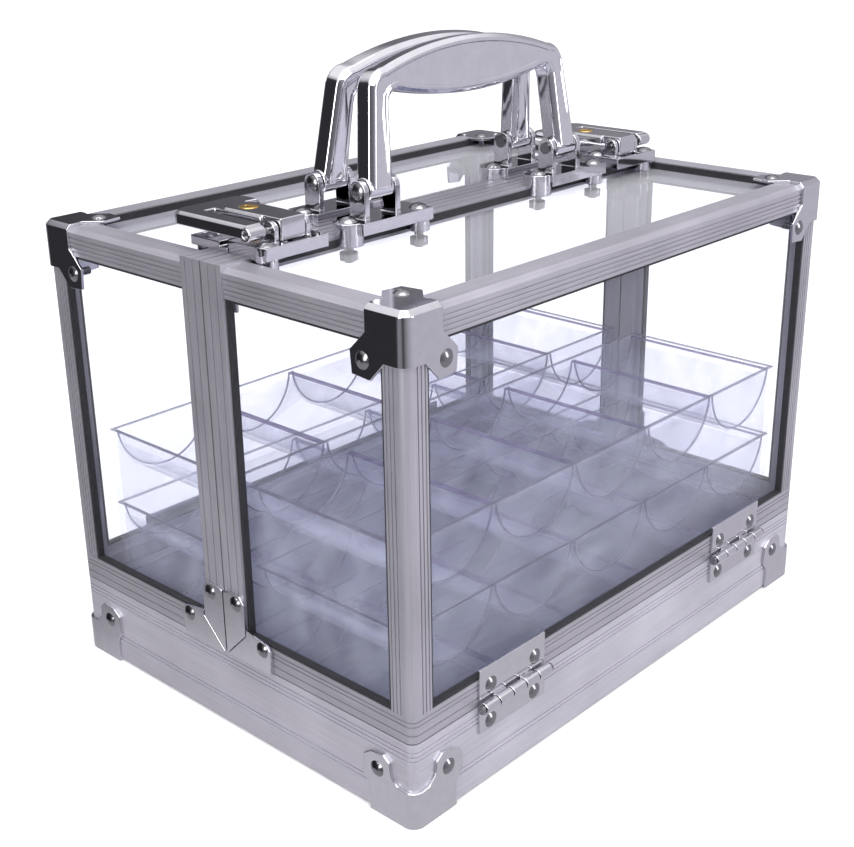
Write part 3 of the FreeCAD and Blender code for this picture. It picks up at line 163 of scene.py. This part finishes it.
GRAIN = 0.02
ALONG = {
    "x": extruded("aluminium_along_x", (GRAIN, 3, 3)),
    "y": extruded("aluminium_along_y", (3, GRAIN, 3)),
    "z": extruded("aluminium_along_z", (3, 3, GRAIN)),
}
RUNS = {
    "x": ["front_sill", "back_sill", "front_top_rail", "back_top_rail",
          "front_centre_strip", "back_centre_strip"],
    "y": ["front_end_sills", "back_end_sills", "front_end_top_rails", "back_end_top_rails"],
    "z": ["front_corner_posts", "back_corner_posts", "front_centre_posts", "back_centre_posts"],
}


def wear(node, material):
    """Gives a node of the frame its finish."""
    mesh = frame["nodes"][node].data
    mesh.materials.clear()
    mesh.materials.append(material)


for axis, names in RUNS.items():
    for node_name in names:
        wear(node_name, ALONG[axis])
# The base tray rails wear a paler copy of the same aluminium: painted light that brightens the base.
TRAY_PAINTED_LIGHT = {"x": extruded("tray_aluminium_painted_light_along_x", (GRAIN, 3, 3), 1.35),
        "y": extruded("tray_aluminium_painted_light_along_y", (3, GRAIN, 3), 1.35)}
for node_name, axis in (("base_front_rail", "x"), ("base_back_rail", "x"), ("base_end_rails", "y")):
    wear(node_name, TRAY_PAINTED_LIGHT[axis])

# ---- Inner floor ----------------------------------------------------------------------------
# A grey sheet laid in the base tray, rolled smooth, with faint scuffs where the racks have slid.

sheet_metal = Finish("floor_sheet")
scuffs = sheet_metal.noise(sheet_metal.place((0.15, 1, 1)), 0.5, 5)
tint = sheet_metal.ramp(scuffs, [(0.3, (0.17, 0.18, 0.2, 1)), (0.5, (0.21, 0.21, 0.27, 1)),
                                 (0.75, (0.25, 0.28, 0.3, 1))])
wear("base_floor", sheet_metal.finish(sheet_metal.node("ShaderNodeBsdfPrincipled", None, {
    "Base Color": tint, "Metallic": 0.3, "Roughness": 0.35 + scuffs * 0.25,
    "Normal": sheet_metal.bump(scuffs, 0.00005, 0.3)})))

# ---- Window linings -------------------------------------------------------------------------
# Black extruded rubber, pushed in between each sheet and the lip of its frame.

rubber = Finish("lining_rubber")
pores = rubber.noise(rubber.place(), 2.2, 4)
wear_color = rubber.ramp(pores, [(0.35, (0.008, 0.008, 0.01, 1)), (0.7, (0.03, 0.03, 0.034, 1))])
rubber_material = rubber.finish(rubber.node("ShaderNodeBsdfPrincipled", None, {
    "Base Color": wear_color, "Roughness": 0.45 + pores * 0.3, "Normal": rubber.bump(pores, 0.00005, 0.4)}))
for node_name in ("front_gaskets", "back_gaskets"):
    wear(node_name, rubber_material)

# ---- Clear sheets ---------------------------------------------------------------------------
# Polished clear acrylic, 2.4 mm thick, held in the rebates of the door frames and by the rivets
# of the corner fittings. Faint smears show only in the gloss.

pane = Finish("clear_sheet")
smears = pane.noise(pane.place((0.4, 0.4, 0.15)), 0.06, 4)
gloss = pane.node("ShaderNodeBsdfPrincipled", None, {
    "Base Color": (0.93, 0.93, 0.97, 1), "Roughness": 0.02 + smears * 0.05, "Metallic": 0.0})
through = pane.node("ShaderNodeBsdfTransparent", None, {"Color": (0.965, 0.97, 0.987, 1)})
facing = pane.node("ShaderNodeLayerWeight", None, {"Blend": 0.5}, output="Facing")
shown = facing ** 5 * 0.6 + 0.02
pane_material = pane.finish(pane.node("ShaderNodeMixShader", None, {0: shown, 1: through, 2: gloss}))
for side in ("front", "back"):
    for sheet in ("side_pane", "top_pane", "end_panes"):
        wear(f"{side}_{sheet}", pane_material)

# ---- Racks ----------------------------------------------------------------------------------
# Injection-moulded clear acrylic with a faint violet tint: a wall all round, five round troughs
# across it, and a hollow underside. The rims and ridges are lightly rounded by the mould.


SEAM = 0.01 * MM
FLAT_ENOUGH = math.radians(0.6)
SMOOTH = math.radians(38)


def rounded_copy(node, material, radius, steps=2, sharp=35):
    """A copy of a node's shape with its sharp edges rounded, which then stands for the node."""
    bpy.ops.object.select_all(action="DESELECT")
    source = frame["nodes"][node]
    piece = bpy.data.objects.new(node + "_finished", source.data.copy())
    bpy.context.scene.collection.objects.link(piece)
    bpy.context.view_layer.objects.active = piece
    piece.select_set(True)
    bpy.ops.object.mode_set(mode="EDIT")
    bpy.ops.mesh.select_all(action="SELECT")
    bpy.ops.mesh.remove_doubles(threshold=SEAM)
    bpy.ops.mesh.dissolve_limited(angle_limit=FLAT_ENOUGH)
    bpy.ops.object.mode_set(mode="OBJECT")
    if radius:
        edge = piece.modifiers.new("edge", "BEVEL")
        edge.width = radius * MM
        edge.segments = steps
        edge.limit_method = "ANGLE"
        edge.angle_limit = math.radians(sharp)
        edge.use_clamp_overlap = False
        bpy.ops.object.modifier_apply(modifier="edge")
    bpy.ops.object.shade_smooth_by_angle(angle=SMOOTH)
    if radius:
        flats = piece.modifiers.new("flats", "WEIGHTED_NORMAL")
        flats.keep_sharp = True
        bpy.ops.object.modifier_apply(modifier="flats")
    piece.data.materials.clear()
    piece.data.materials.append(material)
    body = [name for name, nodes in frame["record"]["behaviour"]["bodies"].items() if node in nodes][0]
    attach(piece, body)
    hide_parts(node)
    return piece


def moulded(name, veil, colour, clearness, pale=(0.74, 0.77, 0.84, 1), shine=0.05):
    """Clear acrylic: it looks thicker and more tinted where a wall is seen edge on."""
    moulding = Finish(name)
    flow = moulding.noise(moulding.place((0.3, 1, 0.6)), 0.12, 3)
    edge_on = moulding.node("ShaderNodeLayerWeight", None, {"Blend": 0.5}, output="Facing")
    skin = moulding.ramp(flow, [(0.35, colour), (0.7, pale)])
    body = moulding.node("ShaderNodeBsdfPrincipled", None, {
        "Base Color": skin, "Roughness": shine + flow * 0.05, "Normal": moulding.bump(flow, 0.0006, 0.3)})
    clear = moulding.node("ShaderNodeBsdfTransparent", None, {"Color": clearness})
    amount = edge_on ** 3 * 0.4 + flow * 0.2 + veil
    return moulding.finish(moulding.node("ShaderNodeMixShader", None, {0: amount, 1: clear, 2: body}))


TROUGHS = 5
WALL = 1.6 * MM
TROUGH = 19.3 * MM
PITCH = 41.2 * MM
TROUGH_LOW = 9.2 * MM
RIM_DEPTH = 0.8 * MM
RIDGE_DEPTH = 1.6 * MM
BEAD = 0.4 * MM
BEAD_OUT = 0.5 * MM
BEAD_TOP = 1.4 * MM


def paint_rims(piece):
    """The rims and the lower ridges, which look darker because the light comes along the wall."""
    piece.data.materials.append(rim_material)
    piece.data.materials.append(ridge_material)
    top = max(vertex.co.z for vertex in piece.data.vertices)
    for face in piece.data.polygons:
        below = top - face.center.z
        if face.normal.z > 0.3 and below < RIDGE_DEPTH:
            face.material_index = 1 if below < RIM_DEPTH else 2


def fillets(node):
    """The moulded fillet where each round trough runs into the two long walls, in a dark tint that is
    painted shade.
    """
    low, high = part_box(node)
    arcs = []
    for number in range(TROUGHS):
        for y in (low[1] + WALL, high[1] - WALL):
            bpy.ops.object.select_all(action="DESELECT")
            bpy.ops.mesh.primitive_torus_add(
                location=((number - TROUGHS // 2) * PITCH, y, low[2] + TROUGH_LOW + TROUGH),
                rotation=(math.pi / 2, 0, 0), major_radius=TROUGH + BEAD_OUT, minor_radius=BEAD,
                major_segments=64, minor_segments=8)
            arc = bpy.context.active_object
            bpy.ops.object.transform_apply(location=True, rotation=True, scale=True)
            bpy.ops.object.mode_set(mode="EDIT")
            bpy.ops.mesh.select_all(action="SELECT")
            bpy.ops.mesh.bisect(plane_co=(0, 0, high[2] - BEAD_TOP), plane_no=(0, 0, 1), use_fill=True,
                                clear_outer=True)
            bpy.ops.object.mode_set(mode="OBJECT")
            arcs.append(arc)
    bpy.ops.object.select_all(action="DESELECT")
    for arc in arcs:
        arc.select_set(True)
    bpy.context.view_layer.objects.active = arcs[0]
    bpy.ops.object.join()
    lines = bpy.context.active_object
    lines.name = node + "_fillets"
    bpy.ops.object.transform_apply(location=True, rotation=True, scale=True)
    bpy.ops.object.shade_smooth_by_angle(angle=math.radians(50))
    lines.data.materials.append(fillet_shade_material)
    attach(lines, node.replace("_rack", "_tray"))


# The rim, ridge and fillet mouldings are tinted dark: painted shade for the dark lines clear acrylic shows
# where a wall is seen along its length.
wall_material = moulded("clear_moulding", -0.05, (0.55, 0.56, 0.68, 1), (0.97, 0.97, 0.985, 1))
rim_material = moulded("moulding_rim", 0.45, (0.1, 0.1, 0.14, 1), (0.7, 0.7, 0.78, 1),
                       (0.2, 0.2, 0.26, 1), 0.35)
ridge_material = moulded("moulding_ridge", 0.5, (0.1, 0.09, 0.17, 1), (0.5, 0.47, 0.62, 1),
                         (0.2, 0.18, 0.3, 1), 0.3)
fillet_shade_material = moulded("moulding_fillet_painted_shade", 0.3, (0.16, 0.16, 0.22, 1), (0.72, 0.72, 0.8, 1),
                          (0.4, 0.4, 0.5, 1), 0.3)
for side in ("front", "back"):
    for layer in ("lower", "middle", "upper"):
        paint_rims(rounded_copy(f"{side}_{layer}_rack", wall_material, 0.3))
        fillets(f"{side}_{layer}_rack")

# ---- Chrome fittings ------------------------------------------------------------------------
# Pressed and cast steel, polished and chrome-plated: corner fittings, tees, caps, hinge leaves,
# handle brackets, latch bases and keepers. Fingerprints dull the plate a little.


def plated(name, level, rough, smudge):
    chrome = Finish(name)
    prints = chrome.noise(chrome.place(), 0.25, 4)
    color = chrome.ramp(prints, [(0.3, grey(level * 0.93, 0.6)), (0.7, grey(level, 0.6))])
    return chrome.finish(chrome.node("ShaderNodeBsdfPrincipled", None, {
        "Base Color": color, "Metallic": 1.0, "Roughness": rough + prints * smudge,
        "Normal": chrome.bump(prints, 0.0001, 0.12)}))


chrome_material = plated("chrome_plate", 0.74, 0.03, 0.08)
CHROME_NODES = ["base_corner_caps", "hinge_lower_leaves", "front_latch_bases", "back_latch_keepers"]
for side in ("front", "back"):
    CHROME_NODES += [f"{side}_{part}" for part in
                     ("corner_brackets", "tee_brackets", "hinge_leaves", "handle_brackets")]
for node_name in CHROME_NODES:
    rounded_copy(node_name, chrome_material, 0.22)
strap_material = plated("zinc_strap", 0.5, 0.25, 0.2)
for side in ("front", "back"):
    rounded_copy(f"{side}_inner_straps", strap_material, 0.15)

# ---- Levers and keys ------------------------------------------------------------------------
# Cast and plated latch levers that turn on the front door and hook over the keepers of the back
# one, each with a turned brass key plug set in its plate.

lever_material = plated("lever_plate", 0.72, 0.05, 0.08)
brass = Finish("turned_brass")
turning = brass.noise(brass.place(), 1.5, 3)
brass_color = brass.ramp(turning, [(0.3, (0.55, 0.34, 0.09, 1)), (0.7, (0.86, 0.62, 0.22, 1))])
brass_material = brass.finish(brass.node("ShaderNodeBsdfPrincipled", None, {
    "Base Color": brass_color, "Metallic": 1.0, "Roughness": 0.22 + turning * 0.15}))
for side in ("left", "right"):
    rounded_copy(f"{side}_latch_lever", lever_material, 0.45, 3)
    rounded_copy(f"{side}_key_plug", brass_material, 0.2)

# ---- Handles --------------------------------------------------------------------------------
# Zinc castings, chrome-plated: a leaf-shaped grip between two legs that end in round feet, which
# turn on pins in the brackets' ears. The broad faces are dished, so a bright rim runs round them.

handle_material = plated("handle_plate", 0.86, 0.03, 0.06)


def dish(piece, rim, depth):
    """Sinks the broad front and back faces of a handle, leaving a bright rim round them."""
    bpy.ops.object.select_all(action="DESELECT")
    bpy.context.view_layer.objects.active = piece
    piece.select_set(True)
    bpy.ops.object.mode_set(mode="EDIT")
    bpy.ops.mesh.select_mode(type="FACE")
    bpy.ops.mesh.select_all(action="DESELECT")
    work = bmesh.from_edit_mesh(piece.data)
    for face in work.faces:
        face.select_set(abs(face.normal.y) > 0.97 and face.calc_area() > 0.0003)
    bmesh.update_edit_mesh(piece.data)
    bpy.ops.mesh.inset(thickness=rim * MM, depth=-depth * MM, use_even_offset=True)
    bpy.ops.mesh.inset(thickness=0.35 * MM, depth=-0.12 * MM, use_even_offset=True)
    bpy.ops.object.mode_set(mode="OBJECT")
    bpy.ops.object.shade_smooth_by_angle(angle=SMOOTH)


for side in ("front", "back"):
    dish(rounded_copy(f"{side}_handle", handle_material, 0.55, 3, 25), 0.7, 0.35)

# ---- Rivets, screws and pins ----------------------------------------------------------------
# Nickel-plated steel. Domed rivets hold the pressed fittings, and screws with nuts hold the
# brackets and latches on the top sheets. They are darker than the plates they hold.

nickel_material = plated("nickel_steel", 0.3, 0.14, 0.12)
for node_name in ("base_rivets", "front_rivets", "back_rivets", "front_screws", "back_screws",
                  "front_pins", "back_pins", "hinge_pins"):
    rounded_copy(node_name, nickel_material, 0)

# ---- Ground, light and camera ---------------------------------------------------------------
# A pale floor, three soft boxes and a broad sun, in a studio that is light above and darker
# round the sides, so that the plated fittings have something dark to reflect.

bpy.ops.object.select_all(action="DESELECT")
bpy.ops.mesh.primitive_plane_add(size=12, location=(0, 0, -0.0002))
ground = bpy.context.active_object
ground.name = "ground"
ground.visible_glossy = False
paper = Finish("paper")
ground.data.materials.append(paper.finish(paper.node("ShaderNodeBsdfPrincipled", None, {
    "Base Color": (0.85, 0.85, 0.855, 1), "Roughness": 0.9})))

studio = Finish("studio", bpy.data.worlds, "ShaderNodeOutputWorld")
bpy.context.scene.world = studio.material
toward = studio.node("ShaderNodeTexCoord", output="Generated")
rise = studio.node("ShaderNodeSeparateXYZ", None, {0: toward}, output="Z")
SIDE_LAMP = (0.72, -0.69, 0.0)
aside = studio.node("ShaderNodeVectorMath", {"operation": "DOT_PRODUCT"}, {0: toward, 1: SIDE_LAMP},
                    output="Value")
walls = studio.ramp(aside * 0.5 + 0.5, [
    (0.0, grey(0.03, 1.5)), (0.07, grey(0.04, 1.5)), (0.15, grey(0.28, 1.5)), (0.28, grey(0.24, 1.5)),
    (0.4, grey(0.06, 1.5)), (0.62, grey(0.3, 1.5)), (0.95, grey(0.58, 1.5))])
table_edge = studio.ramp(rise * 0.5 + 0.5, [(0.24, (0, 0, 0, 1)), (0.29, (1, 1, 1, 1))])
ceiling_edge = studio.ramp(rise * 0.5 + 0.5, [(0.74, (0, 0, 0, 1)), (0.84, (1, 1, 1, 1))])
lower = studio.blend(table_edge, grey(0.6, 1), walls)
around = studio.blend(ceiling_edge, lower, grey(1.0, 0.5))
seen = studio.node("ShaderNodeLightPath", output="Is Camera Ray")
lit = studio.node("ShaderNodeBackground", None, {"Color": around, "Strength": 1.0})
plain_white = studio.node("ShaderNodeBackground", None, {"Color": (1, 1, 1, 1), "Strength": 1.0})
studio.finish(studio.node("ShaderNodeMixShader", None, {0: seen, 1: lit, 2: plain_white}))


def soft_box(name, place, size, power):
    """A square soft box aimed at the middle of the case."""
    bpy.ops.object.light_add(type="AREA", location=place)
    lamp = bpy.context.active_object
    lamp.name = name
    lamp.data.shape = "RECTANGLE"
    lamp.data.size, lamp.data.size_y = size
    lamp.data.energy = power
    lamp.rotation_euler = (Vector((0, 0, 0.08)) - Vector(place)).to_track_quat("-Z", "Y").to_euler()


soft_box("top_box", (-0.1, -0.2, 1.3), (1.0, 1.0), 4)
soft_box("left_box", (-1.3, -0.3, 0.5), (0.4, 0.9), 7)
soft_box("right_box", (0.5, -1.4, 0.5), (0.4, 0.9), 6)
bpy.ops.object.light_add(type="SUN", rotation=(0.35, -0.3, 0))
sun = bpy.context.active_object
sun.data.energy = 2.2
sun.data.angle = 1.2

CAMERA_RIGHT = (0.67825385, -0.73469341, -0.01404623)
CAMERA_DOWN = (-0.27918423, -0.23996131, -0.92977134)
CAMERA_AHEAD = (0.67972632, 0.63454248, -0.3678695)
CAMERA_AT = (-0.35906487, -0.32212847, 0.26829289)
LENS = 58.544
camera_data = bpy.data.cameras.new("camera")
camera_data.lens = LENS
camera_data.sensor_width = 36
camera_data.sensor_fit = "HORIZONTAL"
camera = bpy.data.objects.new("camera", camera_data)
bpy.context.scene.collection.objects.link(camera)
right, up, back = Vector(CAMERA_RIGHT), -Vector(CAMERA_DOWN), -Vector(CAMERA_AHEAD)
pose = Matrix((right, up, back)).transposed().to_4x4()
pose.translation = Vector(CAMERA_AT)
camera.matrix_world = pose
bpy.context.scene.camera = camera
bpy.context.scene.view_settings.view_transform = "Standard"
bpy.context.scene.cycles.transparent_max_bounces = 48
